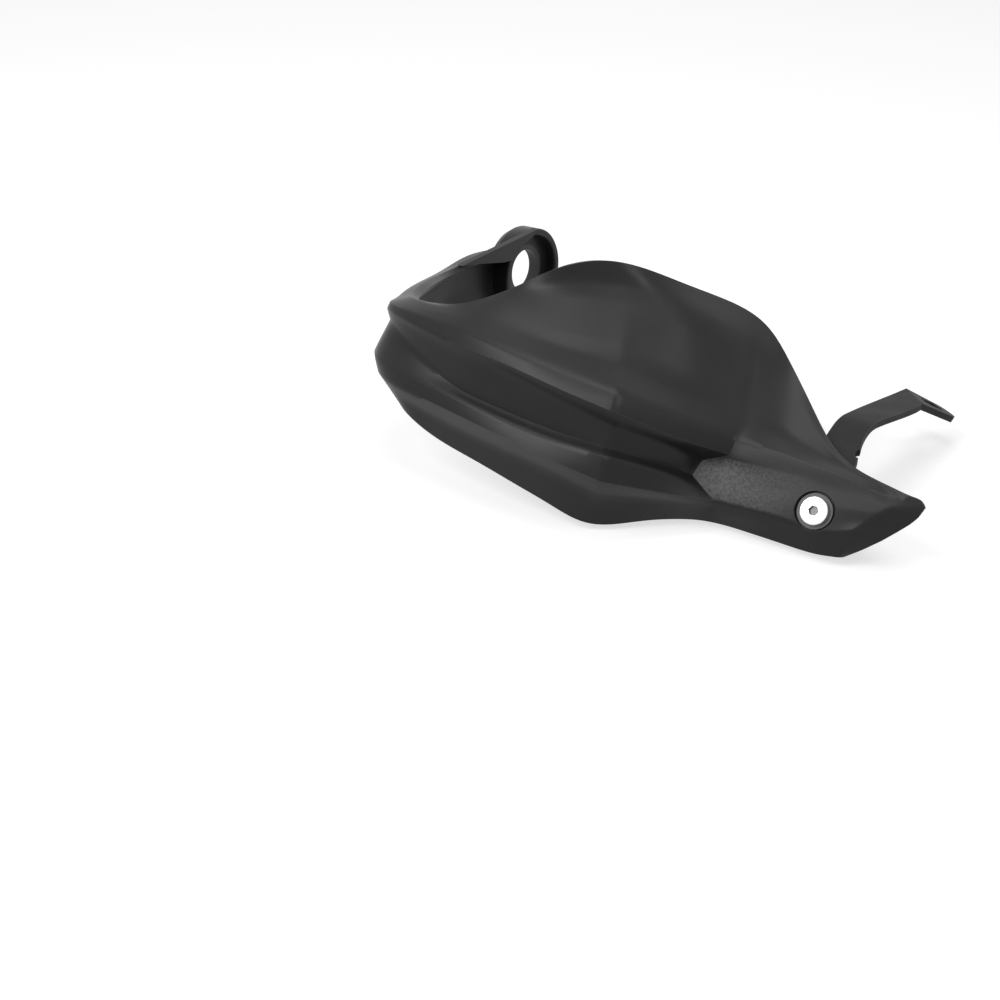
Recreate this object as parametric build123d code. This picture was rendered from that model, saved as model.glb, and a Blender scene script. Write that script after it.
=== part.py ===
from build123d import *
from math import cos, radians, sin
import os

os.makedirs("parts", exist_ok=True)

# Moulded skin. +X runs from the bar end to the tail, +Y towards the rider, +Z up.
WALL = 3.0                   # thickness of the moulded skin
SPAN_STEPS = 2               # sections that blend one drawn section into the next
# Creases that run along the guard, from the top down, and how far the rounding of each reaches from it
CREASES = {
    "flange edge": 4.0,
    "panel foot": 2.0,
    "upper ridge top": 1.6,
    "upper ridge foot": 5.0,
    "undercut": 2.0,
    "valley": 1.6,
    "lower ridge top": 1.8,
    "lower ridge foot": 2.2,
    "skirt": 3.0,
}
# Sections where the whole skin folds from one panel to the next, and how far that fold reaches
FOLDS = {"prow": 6.0, "tail root": 2.5, "tail bevel": 3.0}

# Bar-end ring, measured in from its outboard mouth
RING_RISE = 5.4              # degrees that the bar axis climbs towards the tail
RING_MOUTH = (3, 0, 0)       # centre of the mouth in the drawn sections; it becomes the part's origin
RING_RADIUS = 22.9
RING_LENGTH = 15.0
RING_TAPER = 4.0             # length of the tapered outboard end
RING_LIP = 0.4               # thickness left at the mouth
SOCKET_RADIUS = 20.0
SOCKET_DEPTH = 2.4
WEB_DEPTH = 9.0              # mouth to the hand side of the web
WEB_HOLE_RADIUS = 14.0
RECESS_RADIUS = 19.5         # hollow of the ring on the hand side

# Stepped insert in the web
INSERT_RADIUS = 18.4
INSERT_FLANGE = 2.6
INSERT_GAP = 0.2             # clearance round the insert
INSERT_STEP_RADIUS = 15.4
INSERT_STEP = 1.2            # depth of the inner step
INSERT_BORE_RADIUS = 11.0
NOTCHES = 8
NOTCH_WIDTH = 3.0

# Hand-side flange of the arm
FLANGE_FACE = 17.6           # its inboard face
FLANGE_SIDE = [(4, 24.5), (-60, 26.8), (-42, 21.5), (-25, 16), (-14, 14)]

# Screwed joint in the tail, measured back from the tail's face
COUNTERBORE_RADIUS = 8.4
COUNTERBORE_DEPTH = 2.2
FOOT_GAP = 7.0               # tail face to the front of the bracket foot
BOSS_RADIUS = 10.0
BOSS_GAP = 0.3               # boss to the bracket foot
SLEEVE_RADIUS = 5.4
SLEEVE_BORE_RADIUS = 3.3
SLEEVE_FLANGE_RADIUS = 7.6
SLEEVE_FLANGE = 1.4
SLEEVE_GAP = 0.2             # clearance round the sleeve
SCREW_RADIUS = 3.0
HEAD_RADIUS = 6.0
HEAD_HEIGHT = 2.6
HEAD_EDGE = 0.6
KEY_RADIUS = 2.3             # corner radius of the hexagon key socket
KEY_DEPTH = 1.6
NUT_RADIUS = 5.77            # corner radius of the hexagon nut
NUT_HEIGHT = 5.0
THREAD_GAP = 0.1
SCREW_TIP = 1.2              # thread that stands out of the nut

# Folded bracket strip
STRIP = 3.0                  # plate thickness
FOOT_RADIUS = 9.0            # rounded lower end of the foot
FOOT_HOLE_RADIUS = 3.3
FOOT_BEND = 9.2              # centre of the foot hole up to its bend
NICK_RADIUS = 2.0            # small nick in the inboard edge
TAB_DROP = 24.0              # degrees that the tab folds down from the strip
TAB_RADIUS = 6.5             # rounded end of the tab
SLOT_WIDTH = 6.6
SLOT_LENGTH = 14.0
SLOT_REACH = 13.2            # fold of the tab to the middle of the slot
SLOT_LEAN = 25.0             # degrees that the slot leans outboard
SLOT_MARGIN = 8.5            # end of the slot to the tip of the tab

# Outside of the skin, section by section from the bar end to the tail. Each section runs from the free
# edge over the creases above to the bottom edge.
SECTIONS = {
    "in the ring wall": [(16, -10, 15), (15, -10, 19), (12, -10, 18), (8, -11, 17), (5, -12, 14), (4.7, -12.5, 12),
                         (4.5, -13, 10), (5, -13, 1), (6.5, -10, -12), (8, -8, -15.5), (10, -6, -20)],
    "arm root": [(17, -43, 22), (17, -42, 26), (13, -42, 25), (8, -42, 24), (6, -42, 20), (5, -42, 18),
                 (4.5, -42, 16), (4.5, -42, 4), (6, -42, -6), (8, -42, -9), (11, -42, -13)],
    "arm elbow": [(18, -66, 25), (16, -66, 27), (13, -67, 26), (9, -68, 24), (6, -68, 20), (6, -68, 18),
                  (6, -68, 16), (5, -69, 7), (6, -68, -1), (8.4, -67.6, -4), (12, -67, -8)],
    "arm": [(34, -103, 37), (31, -105, 39), (28, -106, 38), (25, -108, 36), (21, -109, 31), (22, -109, 29),
            (23, -109, 27), (20, -110, 16), (21, -110, 8), (23, -109, 5), (26, -108, 0)],
    "arm end": [(46, -126, 44), (44, -128, 46), (41, -130, 45), (37, -132, 43), (34, -133, 38), (35, -132.5, 35.5),
                (36, -132, 33), (31, -135, 22), (32, -135, 13), (34, -134, 10), (37, -132, 5)],
    "outer corner": [(56, -137, 49), (54, -140, 51), (51, -144, 50), (47, -148, 49), (48, -150, 47),
                     (48.5, -150, 44), (49, -150, 41), (46, -159, 26), (51, -162, 20), (56, -161.5, 14.5),
                     (62, -161, 8)],
    "lip": [(83, -141, 57), (85, -144, 56), (89, -149, 55), (91, -155, 53), (91, -159, 48), (91, -158, 43),
            (88.5, -159.5, 28), (89, -164, 26), (88, -167, 20), (84, -162.8, 10), (80, -162, 0)],
    "outer panel": [(98, -127, 63), (102, -130, 62), (112, -142, 55), (120, -155, 51), (120, -159, 47),
                    (120, -157, 41), (118, -159.3, 24.3), (119, -164, 23), (120, -168, 18), (114.6, -162.9, 7.2),
                    (109, -162, -5)],
    "outer panel top": [(117, -116, 75), (120.5, -116.5, 68.5), (137, -135, 51), (146, -151, 48), (148, -157, 43),
                        (147.5, -154.5, 35), (145, -156.3, 21.5), (146, -161, 20), (147, -166, 14),
                        (144, -161.6, 5), (140, -160, -12)],
    "prow": [(134, -100, 77), (142, -99, 66), (158, -127, 46), (170, -147, 45), (171, -152, 38),
             (170, -149.5, 28.5), (169, -152.5, 20.3), (171, -157, 19), (172, -161, 9), (168, -156.8, -1.6),
             (163, -155, -19)],
    "inner panel": [(157, -74, 62), (166.5, -87.5, 58), (181.4, -112.6, 35), (190, -128, 30), (191, -131, 22),
                    (189.5, -129.6, 16.5), (187.3, -129.7, 6.8), (189, -134, 6), (191, -140, 0),
                    (188.2, -137.6, -5.6), (184, -136, -18)],
    "tail root": [(181, -49, 43), (186, -65, 40), (203, -97, 21), (205, -108, 17), (205, -112.5, 11),
                  (194.5, -117.2, 7), (192.8, -122, 1.1), (200, -123.3, -2.8), (206, -124, -6),
                  (204, -123.3, -11), (201, -122, -19)],
    "tail": [(212, -67, 29), (212, -72, 26), (222, -91, 15), (227, -105, 16), (228, -109, 10), (229, -111, 7),
             (230, -113, 4), (231, -116.7, -0.5), (231, -120, -5), (230.3, -119.3, -10.5), (229, -118, -19)],
    "screw": [(246, -90, 14), (246, -92, 13), (247, -95, 13), (249, -103, 14), (250, -106, 9), (250.5, -108.5, 6),
              (251, -111, 3), (252, -114, -2), (252, -117, -7), (251.2, -116.6, -11.5), (250, -116, -19)],
    "tail bevel": [(279, -96, 11), (280, -97, 10.5), (280, -98, 10), (279, -100, 9), (277, -103, 8),
                   (275, -104.5, 6.5), (273, -106, 5), (269, -109, 1), (265, -113, -3), (263.4, -113.8, -8.5),
                   (261, -115, -17)],
    "tail end": [(285, -96, 11.5), (286.5, -97, 11.5), (288, -98, 10.5), (288.5, -98, 9), (287, -99, 5), (286, -100, 3.5),
                 (284.5, -101, 1.5), (280.5, -104, -2.5), (276.5, -108, -6), (270, -109.6, -12), (262.5, -112, -18)],
}

# Tail face: centre of the screw, the way the face looks and a level line along it
TAIL_CENTRE = (247.5, -113.5, 0)
TAIL_NORMAL = (0.13, -0.80, 0.58)
TAIL_ALONG = (0.80, 0.13, 0)

# Bracket seen from its side: run back from the tail face and height of the middle of the plate, and the
# radius of each bend from the foot's own one on
STRIP_SIDE = [(36, 14.2), (48, 17.3), (120, 0.8)]
STRIP_BENDS = [6, 12, 25]
# Bracket seen from above: its inboard and outboard edges, up to the fold of the tab
STRIP_INBOARD = [(255.5, -125), (253, -95), (250, -81.5), (247.8, -74), (246.8, -66), (247.2, -48), (248.3, -16.5)]
STRIP_OUTBOARD = [(237.5, -125), (235.5, -95), (233, -79), (232.2, -66), (232, -50), (233, -0.5)]


def folded(names, points):
    """Run of points along the guard, with three close ones in place of each fold."""
    points = [Vector(*p) for p in points]
    run = []
    for i, name in enumerate(names):
        if name in FOLDS:
            before = points[i - 1] - points[i]
            after = points[i + 1] - points[i]
            start = points[i] + before * min(FOLDS[name] / before.length, 0.4)
            end = points[i] + after * min(FOLDS[name] / after.length, 0.4)
            run += [start, (start + points[i] * 2 + end) / 4, end]
        else:
            run.append(points[i])
    return run


def blended(points, steps):
    """Smooth run of points through the given ones, which keeps close to them between sections."""
    run = [points[0] * 2 - points[1]] + points + [points[-1] * 2 - points[-2]]
    smooth = []
    for p0, p1, p2, p3 in zip(run, run[1:], run[2:], run[3:]):
        t1 = max((p1 - p0).length, 0.01) ** 0.5
        t2 = t1 + max((p2 - p1).length, 0.01) ** 0.5
        t3 = t2 + max((p3 - p2).length, 0.01) ** 0.5
        for step in range(steps):
            t = t1 + (t2 - t1) * step / steps
            a1 = p0 * ((t1 - t) / t1) + p1 * (t / t1)
            a2 = p1 * ((t2 - t) / (t2 - t1)) + p2 * ((t - t1) / (t2 - t1))
            a3 = p2 * ((t3 - t) / (t3 - t2)) + p3 * ((t - t2) / (t3 - t2))
            b1 = a1 * ((t2 - t) / t2) + a2 * (t / t2)
            b2 = a2 * ((t3 - t) / (t3 - t1)) + a3 * ((t - t1) / (t3 - t1))
            smooth.append(b1 * ((t2 - t) / (t2 - t1)) + b2 * ((t - t1) / (t2 - t1)))
    return smooth + [points[-1]]


def backed_off(before, section, after, depth):
    """Points of a section moved back through the wall, so that each facet keeps its thickness."""
    normals = []
    for j in range(len(section) - 1):
        along = (after[j] + after[j + 1]) - (before[j] + before[j + 1])
        normals.append(along.cross(section[j + 1] - section[j]).normalized())
    moved = []
    for j, point in enumerate(section):
        upper = normals[max(j - 1, 0)]
        lower = normals[min(j, len(normals) - 1)]
        moved.append(point + (upper + lower) * (depth / max(1 + upper.dot(lower), 0.7)))
    return moved


def rounded(points, reaches):
    """Edges of a polyline with its inner corners rounded off."""
    edges = []
    last = points[0]
    for before, corner, after, reach in zip(points, points[1:], points[2:], reaches):
        back = before - corner
        on = after - corner
        start = corner + back * min(reach / back.length, 0.45)
        end = corner + on * min(reach / on.length, 0.45)
        edges += [Edge.make_line(last, start), Edge.make_bezier(start, corner, end)]
        last = end
    return edges + [Edge.make_line(last, points[-1])]


def lofted(sections, depth, reaches):
    """Solid wall whose front runs over the sections; its free edges and ends are closed square."""
    wires = []
    caps = []
    for i, section in enumerate(sections):
        before = sections[max(i - 1, 0)]
        after = sections[min(i + 1, len(sections) - 1)]
        inside = backed_off(before, section, after, depth)
        front = rounded(section, reaches)
        back = rounded(inside[::-1], reaches[::-1])
        foot = Edge.make_line(section[-1], inside[-1])
        top = Edge.make_line(inside[0], section[0])
        wires.append(Wire(front + [foot] + back + [top]))
        if i in (0, len(sections) - 1):
            caps += [Face.make_surface_from_curves(a, b) for a, b in zip(front, rounded(inside, reaches))]
    return Solid(Shell(Solid.make_loft(wires).faces() + caps))


names = list(SECTIONS)
lines = [blended(folded(names, line), SPAN_STEPS) for line in zip(*SECTIONS.values())]
skin = lofted([list(section) for section in zip(*lines)], WALL, list(CREASES.values()))

# Bar-end ring: a short tube on the bar axis, with a web between its socket and its hand-side hollow
bar = Plane(RING_MOUTH, x_dir=(0, 1, 0), z_dir=(cos(radians(RING_RISE)), 0, sin(radians(RING_RISE))))
tail = Plane(TAIL_CENTRE, x_dir=TAIL_ALONG, z_dir=TAIL_NORMAL)


def keep(part, name):
    """Export a piece with the centre of the ring's mouth as origin."""
    export_step(Pos(-Vector(*RING_MOUTH)) * part, f"parts/{name}.step")


def disc(plane, radius, start, end):
    """Cylinder on a plane's axis between two heights."""
    return plane * Pos(0, 0, (start + end) / 2) * Cylinder(radius, end - start)


ring = disc(bar, RING_RADIUS, 0, RING_LENGTH)
mouth = ring.edges().sort_by(Axis(bar.origin, bar.z_dir))[0]
ring = chamfer(mouth, RING_TAPER, RING_RADIUS - SOCKET_RADIUS - RING_LIP)
hand_side = Plane((FLANGE_FACE, 0, 0), x_dir=(0, 1, 0), z_dir=(1, 0, 0))
arm_flange = extrude(hand_side * make_face(Polyline(*FLANGE_SIDE, close=True)), -WALL)
guard_shell = skin + ring + arm_flange
insert_seat = SOCKET_DEPTH + INSERT_FLANGE
guard_shell -= disc(bar, SOCKET_RADIUS, -RING_LENGTH, SOCKET_DEPTH)
guard_shell -= disc(bar, INSERT_RADIUS + INSERT_GAP, 0, insert_seat)
guard_shell -= disc(bar, WEB_HOLE_RADIUS, 0, RING_LENGTH)
guard_shell -= disc(bar, RECESS_RADIUS, WEB_DEPTH, RING_LENGTH * 1.5)

# Screw boss behind the tail
guard_shell += disc(tail, BOSS_RADIUS, BOSS_GAP - FOOT_GAP, -WALL / 2)
guard_shell -= disc(tail, COUNTERBORE_RADIUS, -COUNTERBORE_DEPTH, WALL)
guard_shell -= disc(tail, SLEEVE_RADIUS + SLEEVE_GAP, -FOOT_GAP, WALL)
keep(guard_shell, "guard_shell")

# Insert: flange in the seat, a lower step with notches, and a spigot through the web
insert = disc(bar, INSERT_RADIUS, SOCKET_DEPTH, insert_seat)
insert += disc(bar, WEB_HOLE_RADIUS - INSERT_GAP, insert_seat, WEB_DEPTH)
insert -= disc(bar, INSERT_STEP_RADIUS, 0, SOCKET_DEPTH + INSERT_STEP)
insert -= disc(bar, INSERT_BORE_RADIUS, 0, RING_LENGTH)
notch = Pos(INSERT_STEP_RADIUS, 0, SOCKET_DEPTH) * Box(INSERT_GAP * 20, NOTCH_WIDTH, INSERT_STEP * 2)
insert -= [bar * Rot(0, 0, 360 * k / NOTCHES) * notch for k in range(NOTCHES)]
keep(insert, "bar_end_insert")

# Bracket: a folded strip trimmed to its outline from above, then rounded and pierced on its two ends
side = Plane(TAIL_CENTRE, x_dir=(-TAIL_ALONG[1], TAIL_ALONG[0], 0), z_dir=TAIL_ALONG)
foot = tail.offset(-FOOT_GAP - STRIP / 2)
foot_runs = (-2 * FOOT_RADIUS, FOOT_BEND)
foot_legs = [side.to_local_coords((foot * Pos(0, run, 0)).position) for run in foot_runs]
fold = FilletPolyline(*[(leg.X, leg.Y) for leg in foot_legs], *STRIP_SIDE, radius=STRIP_BENDS)
plate = extrude(side * trace(fold, STRIP), 3 * FOOT_RADIUS, both=True)
tall = plate.bounding_box().size.Z
inboard = Spline(*STRIP_INBOARD)
outboard = Spline(*STRIP_OUTBOARD)
corners = [edge @ 1 + (edge % 1) * (3 * STRIP) for edge in (inboard, outboard)]
far_end = Polyline(inboard @ 1, *corners, outboard @ 1)
outline = make_face([inboard, far_end, outboard, Line(inboard @ 0, outboard @ 0)])
bracket = plate & extrude(outline, tall, both=True)
foot_end = foot * Pos(0, -2 * FOOT_RADIUS, 0) * Box(6 * FOOT_RADIUS, 4 * FOOT_RADIUS, 4 * STRIP)
bracket -= foot_end - disc(foot, FOOT_RADIUS, -3 * STRIP, 3 * STRIP)
bracket -= disc(foot, FOOT_HOLE_RADIUS, -STRIP, STRIP)
nick = Plane((*STRIP_INBOARD[2], 0))
bracket -= disc(nick, NICK_RADIUS, -tall, tall)

# Tab: folded down about the line where the two edges end, and mitred to the strip
leg = fold.edges()[-1]
run_start = side.from_local_coords(leg @ 0)
run_normal = Vector(*TAIL_ALONG).cross(side.from_local_coords(leg @ 1) - run_start).normalized()
ends = []
for edge in (outboard, inboard):
    drop = (edge @ 1 - run_start).dot(Vector(run_normal.X, run_normal.Y, 0)) / run_normal.Z
    ends.append(Vector((edge @ 1).X, (edge @ 1).Y, run_start.Z - drop))
run = Plane((ends[0] + ends[1]) / 2, x_dir=ends[1] - ends[0], z_dir=run_normal)
mitre = Plane(run * Rot(90 - TAB_DROP / 2, 0, 0))
tab = Plane(run * Rot(-TAB_DROP, 0, 0))
slot = tab * Rot(0, 0, SLOT_LEAN) * Pos(0, SLOT_REACH, 0)
half = (ends[1] - ends[0]).length / 2
tip = SLOT_LENGTH / 2 + SLOT_MARGIN - TAB_RADIUS
tip_sides = [tab.to_local_coords((slot * Pos(x, tip, 0)).position) for x in (TAB_RADIUS, -TAB_RADIUS)]
tab_sides = [(-half, -STRIP), (half, -STRIP), (half, 0)] + [(p.X, p.Y) for p in tip_sides] + [(-half, 0)]
tab_plate = tab * extrude(make_face(Polyline(*tab_sides, close=True)), STRIP / 2, both=True)
tab_plate += slot * Pos(0, tip, 0) * Cylinder(TAB_RADIUS, STRIP)
tab_plate -= slot * Rot(0, 0, 90) * extrude(SlotOverall(SLOT_LENGTH, SLOT_WIDTH), STRIP, both=True)
bracket = split(bracket, mitre, keep=Keep.TOP) + split(tab_plate, mitre, keep=Keep.BOTTOM)
keep(bracket, "mount_bracket")

# Flanged sleeve that takes the screw's clamping force through the plastic
seat = SLEEVE_FLANGE - COUNTERBORE_DEPTH
collar = disc(tail, SLEEVE_FLANGE_RADIUS, -COUNTERBORE_DEPTH, seat)
collar += disc(tail, SLEEVE_RADIUS, -FOOT_GAP, -COUNTERBORE_DEPTH)
collar -= disc(tail, SLEEVE_BORE_RADIUS, -FOOT_GAP, WALL)
keep(collar, "screw_collar")

# Screw and the nut behind the bracket foot
nut_back = -FOOT_GAP - STRIP - NUT_HEIGHT
head_top = seat + HEAD_HEIGHT
head = disc(tail, HEAD_RADIUS, seat, head_top)
crown = head.edges().sort_by(Axis(tail.origin, tail.z_dir))[-1]
screw = fillet(crown, HEAD_EDGE)
screw += disc(tail, SCREW_RADIUS, nut_back - SCREW_TIP, seat)
screw -= tail.offset(head_top - KEY_DEPTH) * extrude(RegularPolygon(KEY_RADIUS, 6), KEY_DEPTH + WALL)
keep(screw, "clamp_screw")
nut = tail.offset(nut_back) * extrude(RegularPolygon(NUT_RADIUS, 6), NUT_HEIGHT)
nut -= disc(tail, SCREW_RADIUS + THREAD_GAP, nut_back - WALL, 0)
keep(nut, "clamp_nut")
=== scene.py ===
import bmesh
import bpy
from math import cos, pi, radians, sin
from mathutils import Matrix, Vector


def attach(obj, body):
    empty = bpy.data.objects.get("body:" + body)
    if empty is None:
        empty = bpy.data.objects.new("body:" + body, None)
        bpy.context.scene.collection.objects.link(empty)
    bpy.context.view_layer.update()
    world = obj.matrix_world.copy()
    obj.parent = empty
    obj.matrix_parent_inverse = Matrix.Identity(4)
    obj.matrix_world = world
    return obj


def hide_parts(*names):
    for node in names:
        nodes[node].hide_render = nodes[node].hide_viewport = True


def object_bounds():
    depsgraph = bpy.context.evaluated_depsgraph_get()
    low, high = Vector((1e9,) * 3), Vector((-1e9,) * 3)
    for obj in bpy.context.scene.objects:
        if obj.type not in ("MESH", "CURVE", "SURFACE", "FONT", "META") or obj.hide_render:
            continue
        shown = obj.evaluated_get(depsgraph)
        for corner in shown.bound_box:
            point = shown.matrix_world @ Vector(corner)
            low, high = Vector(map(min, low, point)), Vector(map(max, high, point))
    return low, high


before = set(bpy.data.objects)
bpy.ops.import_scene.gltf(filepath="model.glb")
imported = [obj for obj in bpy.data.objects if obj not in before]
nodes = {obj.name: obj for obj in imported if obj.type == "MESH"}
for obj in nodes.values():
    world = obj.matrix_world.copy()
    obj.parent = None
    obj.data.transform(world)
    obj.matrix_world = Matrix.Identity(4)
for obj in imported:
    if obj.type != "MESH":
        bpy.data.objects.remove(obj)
cad_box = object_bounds()


# Guard shell
# One injection moulding in dark charcoal nylon with a 3 mm wall: the bar-end ring, the channel-shaped arm,
# the ribbed shield with its turned top edge, and the bevelled tail with the screw's recess.

# Sharpness of the creases along the shell and of the folds across it, from 0 (soft) to 1 (knife-sharp)
CREASES = {"flange edge": 0.50, "panel foot": 0.75, "upper ridge top": 0.72, "upper ridge foot": 0.50,
           "undercut": 0.75, "valley": 0.80, "lower ridge top": 0.75, "lower ridge foot": 0.70,
           "skirt": 0.55}
FOLDS = {"prow": 0.62, "tail root": 0.80, "tail bevel": 0.72}
FREE_EDGE = 1.0                     # sharpness of the two edges where the skin ends

# Sections from the bar end to the tail, in millimetres as the part's drawing has them. Each runs from the
# free top edge over the creases, in the order above, to the free bottom edge.
SECTIONS = {
    "in the ring wall": [(16, -10, 15), (15, -10, 19), (12, -10, 18), (8, -11, 17), (5, -12, 14),
                         (4.7, -12.5, 12), (4.5, -13, 10), (5, -13, 1), (6.5, -10, -12), (8, -8, -15.5),
                         (10, -6, -20)],
    "arm root": [(17, -43, 22), (17, -42, 26), (13, -42, 25), (8, -42, 24), (6, -42, 20), (5, -42, 18),
                 (4.5, -42, 16), (4.5, -42, 4), (6, -42, -6), (8, -42, -9), (11, -42, -13)],
    "arm elbow": [(18, -66, 25), (16, -66, 27), (13, -67, 26), (9, -68, 24), (6, -68, 20), (6, -68, 18),
                  (6, -68, 16), (5, -69, 7), (6, -68, -1), (8.4, -67.6, -4), (12, -67, -8)],
    "arm": [(34, -103, 37), (31, -105, 39), (28, -106, 38), (25, -108, 36), (21, -109, 31), (22, -109, 29),
            (23, -109, 27), (20, -110, 16), (21, -110, 8), (23, -109, 5), (26, -108, 0)],
    "arm end": [(46, -126, 44), (44, -128, 46), (41, -130, 45), (37, -132, 43), (34, -133, 38),
                (35, -132.5, 35.5), (36, -132, 33), (31, -135, 22), (32, -135, 13), (34, -134, 10),
                (37, -132, 5)],
    "outer corner": [(56, -137, 49), (54, -140, 51), (51, -144, 50), (47, -148, 49), (48, -150, 47),
                     (48.5, -150, 44), (49, -150, 41), (46, -159, 26), (51, -162, 20), (56, -161.5, 14.5),
                     (62, -161, 8)],
    "lip": [(83, -141, 57), (85, -144, 56), (89, -149, 55), (91, -155, 53), (91, -159, 48), (91, -158, 43),
            (88.5, -159.5, 28), (89, -164, 26), (88, -167, 20), (84, -162.8, 10), (80, -162, 0)],
    "outer panel": [(98, -127, 63), (102, -130, 62), (112, -142, 55), (120, -155, 51), (120, -159, 47),
                    (120, -157, 41), (118, -159.3, 24.3), (119, -164, 23), (120, -168, 18),
                    (114.6, -162.9, 7.2), (109, -162, -5)],
    "outer panel top": [(117, -116, 75), (120.5, -116.5, 68.5), (137, -135, 51), (146, -151, 48),
                        (148, -157, 43), (147.5, -154.5, 35), (145, -156.3, 21.5), (146, -161, 20),
                        (147, -166, 14), (144, -161.6, 5), (140, -160, -12)],
    "prow": [(134, -100, 77), (142, -99, 66), (158, -127, 46), (170, -147, 45), (172, -153.3, 39.1),
             (170, -149.5, 28.5), (169, -152.5, 20.3), (171, -157, 19), (172, -161, 9), (168, -156.8, -1.6),
             (163, -155, -19)],
    "inner panel": [(157, -74, 62), (166.5, -87.5, 58), (181.4, -112.6, 35), (190, -128, 30),
                    (192.4, -132.8, 23.5), (189.5, -129.6, 16.5), (187.3, -129.7, 6.8), (189, -134, 6),
                    (191, -140, 0), (188.2, -137.6, -5.6), (184, -136, -18)],
    "tail root": [(181, -49, 43), (186, -65, 40), (203, -97, 21), (205, -108, 17), (205.8, -113.5, 11.8),
                  (194.5, -117.2, 7), (192.8, -122, 1.1), (200, -123.3, -2.8), (206, -124, -6),
                  (204, -123.3, -11), (201, -122, -19)],
    "tail": [(212, -67, 29), (212, -72, 26), (222, -91, 15), (227, -105, 16), (228, -109, 10),
             (229, -111, 7), (230, -113, 4), (231, -116.7, -0.5), (231, -120, -5), (230.3, -119.3, -10.5),
             (229, -118, -19)],
    "screw": [(246, -90, 14), (246, -92, 13), (247, -95, 13), (249, -103, 14), (250, -106, 9),
              (250.5, -108.5, 6), (251, -111, 3), (252, -114, -2), (252, -117, -7), (251.2, -116.6, -11.5),
              (250, -116, -19)],
    "tail bevel": [(279.5, -97.3, 12.6), (279.6, -98, 11.6), (279.4, -98.7, 10.7), (279.1, -99.6, 9.5),
                   (277, -103, 8), (275, -104.5, 6.5), (273, -106, 5), (269, -109, 1), (265, -113, -3),
                   (263.4, -113.8, -8.5), (261, -115, -17)],
    "tail end": [(285.3, -96, 11.6), (286.5, -96.2, 11.1), (287.7, -96.6, 10.3), (288.6, -97.2, 9.2),
                 (287, -99, 5), (286, -100, 3.5), (284.5, -101, 1.5), (280.5, -104, -2.5),
                 (276.5, -108, -6), (270, -109.6, -12), (262.5, -112, -18)],
}
DRAWN_MOUTH = Vector((3, 0, 0))     # the ring's mouth in the drawing, which is the frame's origin
WALL = 0.003
SPAN_STEPS = 3                      # rows of the cage from one section to the next
CAGE_LEVELS = 2
SEAM = 2e-5                         # points closer than this become one
HARD_EDGE = radians(38)             # edges that turn by more than this are shaded sharp

# Outlines of radius and height in millimetres: the ring and its bore along the bar, inboard from the mouth,
# and the boss and the screw's recess along the tail's normal, outwards from its face
BAR_RISE = radians(5.4)
RING = [(0, 0), (20.4, 0), (22.6, 3.6), (22.9, 4.4), (22.9, 14.4), (22.3, 15), (0, 15)]
BORE = [(0, -15), (20, -15), (20, 2.4), (18.6, 2.4), (18.6, 5), (14, 5), (14, 9), (19.5, 9), (19.5, 14.4),
        (20.1, 15), (20.1, 22), (0, 22)]
RING_STEPS = 96
SCREW_PLACE = (247.5, -113.5, 0)
TAIL_NORMAL = (0.13, -0.80, 0.58)
TAIL_LEVEL = (0.80, 0.13, 0)        # level line in the tail's face
BOSS = [(0, -6.7), (8.4, -6.7), (8.8, -6.3), (8.8, -1.5), (0, -1.5)]
RECESS = [(0, 4), (9.2, 4), (9.2, 0.4), (8.4, -0.4), (8.4, -2.2), (5.6, -2.2), (5.6, -9), (0, -9)]
RECESS_STEPS = 64

# Hand-side flange of the arm: its inboard face, and its outline in y and z
FLANGE_FACE = 17.6
FLANGE_SIDE = [(4, 24.5), (-60, 26.8), (-42, 21.5), (-25, 16), (-14, 14)]


def drawn(point):
    """Point of the drawing, in the part's frame."""
    return (Vector(point) - DRAWN_MOUTH) / 1000


def eased(points, steps):
    """Run through the given points that keeps close to them in between, as a batten does."""
    run = [points[0] * 2 - points[1]] + points + [points[-1] * 2 - points[-2]]
    smooth = []
    for p0, p1, p2, p3 in zip(run, run[1:], run[2:], run[3:]):
        t1 = (p1 - p0).length ** 0.5
        t2 = t1 + (p2 - p1).length ** 0.5
        t3 = t2 + (p3 - p2).length ** 0.5
        for step in range(steps):
            t = t1 + (t2 - t1) * step / steps
            a1 = p0.lerp(p1, t / t1)
            a2 = p1.lerp(p2, (t - t1) / (t2 - t1))
            a3 = p2.lerp(p3, (t - t2) / (t3 - t2))
            b1 = a1.lerp(a2, t / t2)
            b2 = a2.lerp(a3, (t - t1) / (t3 - t1))
            smooth.append(b1.lerp(b2, (t - t1) / (t2 - t1)))
    return smooth + [points[-1]]


# Rows of the cage: smooth from one fold of the skin to the next and broken at the fold. The two free edges
# are only broken at the tail's bevel.
names = list(SECTIONS)
folds = [0] + [names.index(name) for name in FOLDS] + [len(names) - 1]
free_lines = (0, len(CREASES) + 1)
lines = []
for number, line in enumerate(zip(*SECTIONS.values())):
    points = [drawn(point) for point in line]
    stops = [0, *folds[-2:]] if number in free_lines else folds
    run = []
    for start, end in zip(stops, stops[1:]):
        run += eased(points[start:end + 1], SPAN_STEPS)[:-1]
    lines.append(run + [points[-1]])
rows = list(zip(*lines))
fold_rows = {names.index(name) * SPAN_STEPS: sharpness for name, sharpness in FOLDS.items()}
line_sharpness = [FREE_EDGE, *CREASES.values(), FREE_EDGE]

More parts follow.
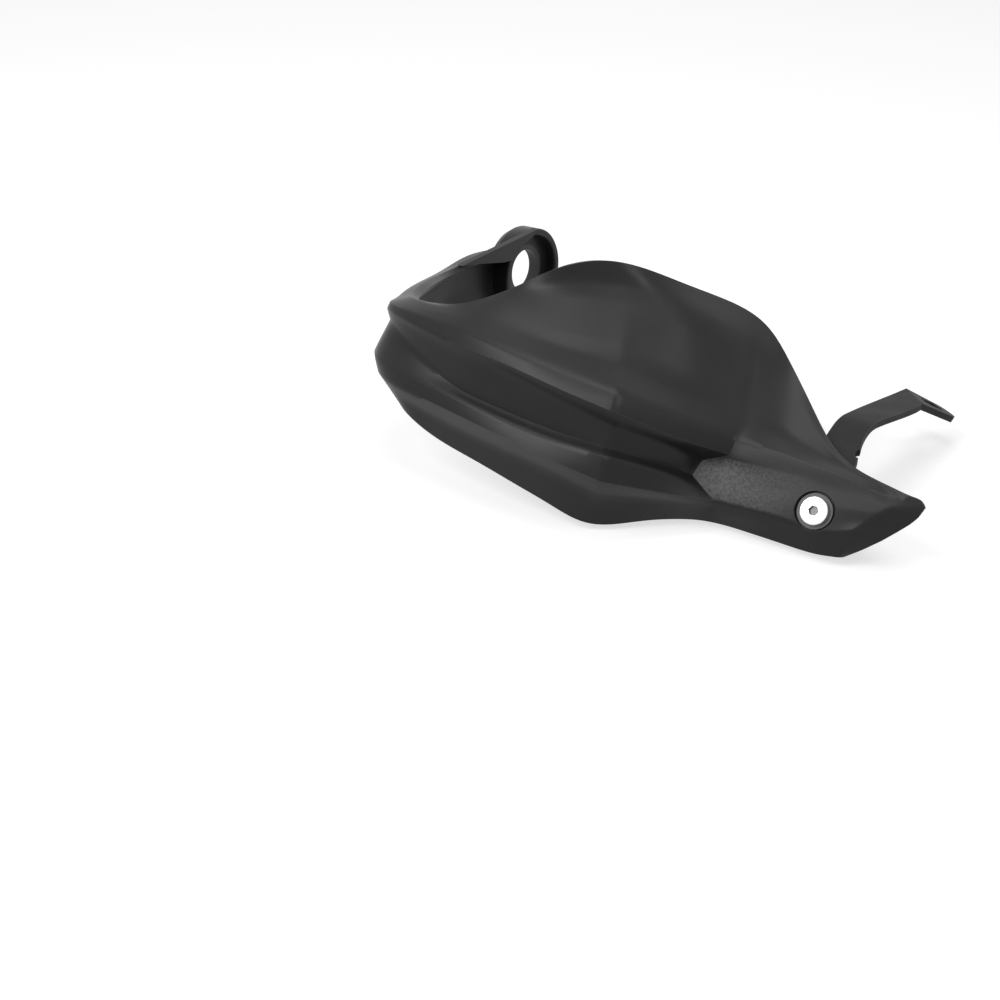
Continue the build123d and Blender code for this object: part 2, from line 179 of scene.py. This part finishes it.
# Cage: the first row's chain of edges, extruded from row to row
cage = bmesh.new()
weight = cage.edges.layers.float.new("crease_edge")
chain = [cage.verts.new(point) for point in rows[0]]
edge_run = [cage.edges.new(pair) for pair in zip(chain, chain[1:])]
for number, row in enumerate(rows[1:], 1):
    grown = set(bmesh.ops.extrude_edge_only(cage, edges=edge_run)["geom"])
    onward = []
    for vert, point, sharpness in zip(chain, row, line_sharpness):
        along = next(edge for edge in vert.link_edges if edge.other_vert(vert) in grown)
        along[weight] = sharpness
        along.other_vert(vert).co = point
        onward.append(along.other_vert(vert))
    chain = onward
    edge_run = [cage.edges.get(pair) for pair in zip(chain, chain[1:])]
    for edge in edge_run[1:-1]:
        edge[weight] = fold_rows.get(number, 0.0)
bmesh.ops.recalc_face_normals(cage, faces=cage.faces)
if sum(face.normal.y for face in cage.faces) > 0:
    bmesh.ops.reverse_faces(cage, faces=cage.faces)


def mesh_object(name, shape):
    made = bpy.data.meshes.new(name)
    shape.to_mesh(made)
    shape.free()
    obj = bpy.data.objects.new(name, made)
    bpy.context.scene.collection.objects.link(obj)
    return obj


def turned(outline, steps, place):
    """Turned shape: a closed outline of radius and height, spun about the z axis and put in its place."""
    shape = bmesh.new()
    points = [shape.verts.new((radius / 1000, 0, height / 1000)) for radius, height in outline]
    sides = [shape.edges.new(pair) for pair in zip(points, points[1:] + points[:1])]
    bmesh.ops.spin(shape, geom=points + sides, cent=(0, 0, 0), axis=(0, 0, 1), angle=2 * pi, steps=steps,
                   use_merge=True)
    bmesh.ops.remove_doubles(shape, verts=shape.verts, dist=1e-6)
    bmesh.ops.delete(shape, geom=[edge for edge in shape.edges if edge.is_wire], context="EDGES")
    bmesh.ops.recalc_face_normals(shape, faces=shape.faces)
    bmesh.ops.transform(shape, matrix=place, verts=shape.verts)
    return shape


def placed(origin, normal, level):
    """Place of a turned shape: its axis along a normal, its x axis along a level line."""
    z = Vector(normal).normalized()
    x = (Vector(level) - z * z.dot(Vector(level))).normalized()
    return Matrix.LocRotScale(Vector(origin), Matrix((x, z.cross(x), z)).transposed(), None)


bar = placed((0, 0, 0), (cos(BAR_RISE), 0, sin(BAR_RISE)), (0, 1, 0))
tail = placed(drawn(SCREW_PLACE), TAIL_NORMAL, TAIL_LEVEL)
flange = bmesh.new()
side = flange.faces.new([flange.verts.new(drawn((FLANGE_FACE, y, z))) for y, z in FLANGE_SIDE])
plate = bmesh.ops.extrude_face_region(flange, geom=[side])["geom"]
far_side = [item for item in plate if isinstance(item, bmesh.types.BMVert)]
bmesh.ops.translate(flange, vec=(-WALL, 0, 0), verts=far_side)
bmesh.ops.recalc_face_normals(flange, faces=flange.faces)

# The cage is rounded and given its wall, joined with the ring, the flange and the boss, and then bored. The
# wall crosses itself in places, which the boolean steps are told.
shell = mesh_object("guard_shell_moulding", cage)
rounding = shell.modifiers.new("rounding", "SUBSURF")
rounding.levels = rounding.render_levels = CAGE_LEVELS
wall = shell.modifiers.new("wall", "SOLIDIFY")
wall.thickness = WALL
wall.offset = -1.0
cutters = []
for operation, shape in (("UNION", turned(RING, RING_STEPS, bar)),
                         ("UNION", flange),
                         ("UNION", turned(BOSS, RECESS_STEPS, tail)),
                         ("DIFFERENCE", turned(BORE, RING_STEPS, bar)),
                         ("DIFFERENCE", turned(RECESS, RECESS_STEPS, tail))):
    cutters.append(mesh_object("cutter", shape))
    step = shell.modifiers.new("step", "BOOLEAN")
    step.operation = operation
    step.object = cutters[-1]
    step.solver = "EXACT"
    step.use_self = True
view = bpy.context.evaluated_depsgraph_get()
finished = bpy.data.meshes.new_from_object(shell.evaluated_get(view))
for cutter in cutters:
    bpy.data.objects.remove(cutter)
shell.modifiers.clear()
shape = bmesh.new()
shape.from_mesh(finished)
bmesh.ops.remove_doubles(shape, verts=shape.verts, dist=SEAM)
bmesh.ops.dissolve_degenerate(shape, edges=shape.edges, dist=SEAM)
for face in shape.faces:
    face.smooth = True
for edge in shape.edges:
    edge.smooth = edge.calc_face_angle(0.0) < HARD_EDGE
shape.to_mesh(shell.data)
shape.free()
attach(shell, "root")
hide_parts("guard_shell")


def group(name, inputs, outputs):
    tree = bpy.data.node_groups.new(name, "ShaderNodeTree")
    for label, kind, value in inputs:
        socket = tree.interface.new_socket(label, in_out="INPUT", socket_type=kind)
        socket.default_value = value
    for label, kind in outputs:
        tree.interface.new_socket(label, in_out="OUTPUT", socket_type=kind)
    return tree, tree.nodes.new("NodeGroupInput"), tree.nodes.new("NodeGroupOutput")


def add(tree, kind, settings=None, **sockets):
    """Node with its settings, and its inputs set or linked: by number as i0, i1 and so on, or by name."""
    node = tree.nodes.new(kind)
    for key, value in (settings or {}).items():
        setattr(node, key, value)
    for key, value in sockets.items():
        numbered = key[0] == "i" and key[1:].isdigit()
        socket = node.inputs[int(key[1:])] if numbered else node.inputs[key.replace("_", " ")]
        if isinstance(value, bpy.types.NodeSocket):
            tree.links.new(value, socket)
        else:
            socket.default_value = value
    return node


def ranged(tree, value, start, end, first=0.0, last=1.0):
    """Value carried from one range to another and held at its ends."""
    return add(tree, "ShaderNodeMapRange", i0=value, i1=start, i2=end, i3=first, i4=last).outputs["Result"]


def value_math(tree, operation, first, second):
    return add(tree, "ShaderNodeMath", {"operation": operation}, i0=first, i1=second).outputs["Value"]


def vector_math(tree, operation, *vectors):
    inputs = {f"i{number}": vector for number, vector in enumerate(vectors)}
    node = add(tree, "ShaderNodeVectorMath", {"operation": operation}, **inputs)
    return node.outputs["Value" if operation in ("DOT_PRODUCT", "LENGTH") else "Vector"]


def mixed(tree, factor, first, second):
    """Mix of a colour, or of a node's colour, with a second colour."""
    node = add(tree, "ShaderNodeMix", {"data_type": "RGBA"}, i0=factor)
    if isinstance(first, bpy.types.NodeSocket):
        tree.links.new(first, node.inputs[6])
    else:
        node.inputs[6].default_value = (*first, 1)
    node.inputs[7].default_value = (*second, 1)
    return node.outputs[2]


# Fine grain: two sizes of noise, for a bump height and for a faint change of colour and gloss
CLOUD_SPREAD = (0.3, 0.7)           # part of the broad noise's range that the change is spread over
grain, grain_in, grain_out = group(
    "fine_grain",
    [("Fine", "NodeSocketFloat", 900.0), ("Broad", "NodeSocketFloat", 45.0)],
    [("Height", "NodeSocketFloat"), ("Cloud", "NodeSocketFloat")])
place = add(grain, "ShaderNodeTexCoord").outputs["Object"]
fine = add(grain, "ShaderNodeTexNoise", Vector=place, Scale=grain_in.outputs["Fine"], Detail=2.0)
broad = add(grain, "ShaderNodeTexNoise", Vector=place, Scale=grain_in.outputs["Broad"], Detail=3.0)
grain.links.new(fine.outputs["Fac"], grain_out.inputs["Height"])
grain.links.new(broad.outputs["Fac"], grain_out.inputs["Cloud"])

# Worn edges: where the rounded-over normal parts from the true one
WORN_TURN = (0.985, 0.90)           # cosine between the two where wear begins and where it is full
edges, edges_in, edges_out = group(
    "worn_edges", [("Radius", "NodeSocketFloat", 0.0012)], [("Mask", "NodeSocketFloat")])
soft = add(edges, "ShaderNodeBevel", {"samples": 4}, Radius=edges_in.outputs["Radius"])
true = add(edges, "ShaderNodeNewGeometry")
turn = vector_math(edges, "DOT_PRODUCT", soft.outputs["Normal"], true.outputs["Normal"])
edges.links.new(ranged(edges, turn, *WORN_TURN), edges_out.inputs["Mask"])


def grained(name, scales, tones, rough, relief, depth):
    """Material whose colour and gloss drift between two values, with a fine bump all over."""
    made = bpy.data.materials.new(name)
    made.use_nodes = True
    tree = made.node_tree
    tree.nodes.clear()
    shader = tree.nodes.new("ShaderNodeBsdfPrincipled")
    out = tree.nodes.new("ShaderNodeOutputMaterial")
    tree.links.new(shader.outputs["BSDF"], out.inputs["Surface"])
    skin = add(tree, "ShaderNodeGroup", {"node_tree": grain}, Fine=scales[0], Broad=scales[1])
    cloud = skin.outputs["Cloud"]
    tree.links.new(mixed(tree, ranged(tree, cloud, *CLOUD_SPREAD), *tones), shader.inputs["Base Color"])
    tree.links.new(ranged(tree, cloud, *CLOUD_SPREAD, *rough), shader.inputs["Roughness"])
    bump = add(tree, "ShaderNodeBump", Strength=relief, Distance=depth, Height=skin.outputs["Height"])
    tree.links.new(bump.outputs["Normal"], shader.inputs["Normal"])
    return made, tree, shader


def lay_over(tree, shader, mask, colour):
    """Another colour over the material's own, where the mask says."""
    base = shader.inputs["Base Color"]
    tree.links.new(mixed(tree, mask, base.links[0].from_socket, colour), base)


def wear(tree, shader, radius, share, colour):
    """Paler colour along the edges, at a share of the worn edges' mask."""
    rim = add(tree, "ShaderNodeGroup", {"node_tree": edges}, Radius=radius)
    lay_over(tree, shader, value_math(tree, "MULTIPLY", rim.outputs["Mask"], share), colour)


def dress(made, *pieces):
    for piece in pieces:
        piece.data.materials.clear()
        piece.data.materials.append(made)


SKIN_RELIEF = 0.12
charcoal, tree, shader = grained(
    "charcoal_moulding", scales=(900.0, 45.0), tones=((0.0145, 0.0146, 0.0150), (0.0185, 0.0186, 0.0190)),
    rough=(0.32, 0.38), relief=SKIN_RELIEF, depth=0.0002)
shader.inputs["Specular IOR Level"].default_value = 0.18
wear(tree, shader, radius=0.0012, share=0.35, colour=(0.055, 0.055, 0.057))

# Grip patch: the sparked, coarser panel on the tail, from its root fold to where it fades out by the screw.
# Each limit is an axis, the place on it where the patch is gone and the place where it is whole.
PATCH_LIMITS = (("X", 0.186, 0.188), ("X", 0.242, 0.205), ("Z", -0.0060, -0.0045), ("Z", 0.0105, 0.0095))
PATCH_FACING = (0.90, 0.95)         # cosine to the tail's normal where the patch is gone and whole
PATCH_RELIEF = 0.6
SPECK_SPREAD = (0.35, 0.65)         # part of the fine noise's range that the specks are spread over
SPECK_SHARE = (0.35, 1.0)
bump = shader.inputs["Normal"].links[0].from_node
height = bump.inputs["Height"].links[0].from_socket
spot = add(tree, "ShaderNodeSeparateXYZ", Vector=add(tree, "ShaderNodeTexCoord").outputs["Object"])
normal = add(tree, "ShaderNodeNewGeometry").outputs["Normal"]
facing = vector_math(tree, "DOT_PRODUCT", normal, Vector(TAIL_NORMAL).normalized())
patch = ranged(tree, facing, *PATCH_FACING)
for axis, gone, whole in PATCH_LIMITS:
    patch = value_math(tree, "MULTIPLY", patch, ranged(tree, spot.outputs[axis], gone, whole))
speck = value_math(tree, "MULTIPLY", patch, ranged(tree, height, *SPECK_SPREAD, *SPECK_SHARE))
lay_over(tree, shader, speck, (0.085, 0.085, 0.086))
tree.links.new(ranged(tree, patch, 0.0, 1.0, SKIN_RELIEF, PATCH_RELIEF), bump.inputs["Strength"])
dress(charcoal, shell)


# Mounting bracket
# A strip of 3 mm mild steel, blanked to its outline, folded, and powder coated matte black. Its foot is
# bolted behind the tail.
black, tree, shader = grained(
    "black_powder_coat", scales=(1400.0, 80.0), tones=((0.016, 0.016, 0.0165), (0.020, 0.020, 0.0205)),
    rough=(0.55, 0.65), relief=0.2, depth=0.0002)
shader.inputs["Specular IOR Level"].default_value = 0.15
wear(tree, shader, radius=0.0008, share=0.5, colour=(0.07, 0.07, 0.072))
dress(black, nodes["mount_bracket"])


# Clamp screw
# Bright zinc-plated steel with a turned, nearly flat head and a hexagon socket, darkened inside with painted
# shade. It clamps the bracket's foot behind the tail.
HEAD_TOP = 0.0018                   # height of the head's face over the tail's
SHADE_TOP = HEAD_TOP - 0.0002       # painted shade begins below the head's face, which stays bright
SHADE_REACH = 0.0029                # reach of the painted shade from the screw's axis at the tail's face, just past the socket's corners
SHADE_SHARE = 0.85
zinc, tree, shader = grained(
    "bright_zinc", scales=(2500.0, 300.0), tones=((0.70, 0.70, 0.71), (0.78, 0.78, 0.78)),
    rough=(0.32, 0.42), relief=0.06, depth=0.0001)
shader.inputs["Metallic"].default_value = 1.0
# Painted shade: near black laid over the socket's walls and floor, standing in for the shade in the recess
place = add(tree, "ShaderNodeTexCoord").outputs["Object"]
out_from = vector_math(tree, "SUBTRACT", place, tail.translation)
rise = vector_math(tree, "DOT_PRODUCT", out_from, tail.col[2].xyz)
sunk = value_math(tree, "LESS_THAN", rise, SHADE_TOP)
near = value_math(tree, "LESS_THAN", vector_math(tree, "LENGTH", out_from), SHADE_REACH)
painted_socket_shade = value_math(tree, "MULTIPLY", value_math(tree, "MULTIPLY", sunk, near), SHADE_SHARE)
lay_over(tree, shader, painted_socket_shade, (0.03, 0.03, 0.03))
dress(zinc, nodes["clamp_screw"])


# Screw collar and nut
# A flanged sleeve pressed into the tail's counterbore, and a plain hexagon nut behind the bracket foot. Both
# are steel with a dull grey plating.
dull, tree, shader = grained(
    "dull_grey_plate", scales=(2000.0, 250.0), tones=((0.055, 0.055, 0.056), (0.085, 0.085, 0.086)),
    rough=(0.42, 0.52), relief=0.1, depth=0.0001)
shader.inputs["Metallic"].default_value = 0.6
dress(dull, nodes["screw_collar"], nodes["clamp_nut"])


# Bar-end insert
# A black moulded ring, stepped and notched, pushed into the web of the bar-end ring. It lines the bore that
# the end of the handlebar goes through.
insert_black, tree, shader = grained(
    "insert_black", scales=(1200.0, 90.0), tones=((0.013, 0.013, 0.0135), (0.018, 0.018, 0.0185)),
    rough=(0.45, 0.55), relief=0.15, depth=0.0002)
dress(insert_black, nodes["bar_end_insert"])


# Floor and light
# A white sweep under the guard, in a white room. A wide soft box hangs overhead, two stand in front on the
# left, one higher than the other, and one stands at the right.
FLOOR_REACH = 6.0
FLOOR_MIDDLE = (0.14, -0.07)
FLOOR_COLOUR = (0.45, 0.45, 0.45, 1)
FLOOR_LIFT = 0.66                   # added where the floor is seen, so that it shows white with a shadow
ROOM_LIGHT = 0.20                   # the room's level as a light, though it is seen as white
WHITE = (1, 1, 1, 1)
AIM = (0.14, -0.08, 0.0)


def seen_rays(tree):
    """One for rays from the camera, straight, mirrored or through glass, and nought for diffuse light."""
    path = add(tree, "ShaderNodeLightPath")
    seen = value_math(tree, "MAXIMUM", path.outputs["Is Camera Ray"], path.outputs["Is Glossy Ray"])
    return value_math(tree, "MAXIMUM", seen, path.outputs["Is Transmission Ray"])


sheet = bmesh.new()
bmesh.ops.create_grid(sheet, x_segments=1, y_segments=1, size=FLOOR_REACH)
bmesh.ops.translate(sheet, vec=(*FLOOR_MIDDLE, cad_box[0].z), verts=sheet.verts)
floor = mesh_object("floor", sheet)
paper = bpy.data.materials.new("white_paper")
paper.use_nodes = True
tree = paper.node_tree
tree.nodes.clear()
out = tree.nodes.new("ShaderNodeOutputMaterial")
matt = add(tree, "ShaderNodeBsdfDiffuse", Color=FLOOR_COLOUR)
lift = value_math(tree, "MULTIPLY", seen_rays(tree), FLOOR_LIFT)
glow = add(tree, "ShaderNodeEmission", Color=WHITE, Strength=lift)
both = add(tree, "ShaderNodeAddShader", i0=matt.outputs["BSDF"], i1=glow.outputs["Emission"])
tree.links.new(both.outputs["Shader"], out.inputs["Surface"])
floor.data.materials.append(paper)

world = bpy.data.worlds.new("studio")
bpy.context.scene.world = world
world.use_nodes = True
tree = world.node_tree
tree.nodes.clear()
out = tree.nodes.new("ShaderNodeOutputWorld")
level = ranged(tree, seen_rays(tree), 0.0, 1.0, ROOM_LIGHT, 1.0)
room = add(tree, "ShaderNodeBackground", Color=WHITE, Strength=level)
tree.links.new(room.outputs["Background"], out.inputs["Surface"])


def soft_box(name, place, size, power):
    lamp = bpy.data.lights.new(name, "AREA")
    lamp.shape = "RECTANGLE"
    lamp.size, lamp.size_y = size
    lamp.energy = power
    obj = bpy.data.objects.new(name, lamp)
    obj.location = place
    obj.rotation_euler = (Vector(AIM) - Vector(place)).to_track_quat("-Z", "Y").to_euler()
    bpy.context.scene.collection.objects.link(obj)


soft_box("overhead", (0.04, -0.02, 1.25), (0.7, 0.7), 5.8)
soft_box("front", (-0.14, -0.80, 1.00), (0.5, 0.5), 6.3)
soft_box("front_low", (-0.13, -1.12, 0.66), (0.5, 0.4), 2.8)
soft_box("right", (0.86, -0.08, 0.96), (0.4, 0.4), 2.5)


# Camera, at the photograph's viewing angle: about 0.8 m off, to the right and above
camera_data = bpy.data.cameras.new("camera")
camera_data.sensor_width = 36.0
camera_data.lens = 61.24
camera = bpy.data.objects.new("camera", camera_data)
away = Vector((0.512, -0.668, 0.540)).normalized()
right = Vector((0.793, 0.609, 0.0)).normalized()
place = Vector((0.502, -0.664, 0.386))
turn = Matrix((right, away.cross(right), away)).transposed()
camera.matrix_world = Matrix.LocRotScale(place, turn, None)
bpy.context.scene.collection.objects.link(camera)
bpy.context.scene.camera = camera
bpy.context.scene.view_settings.view_transform = "Standard"
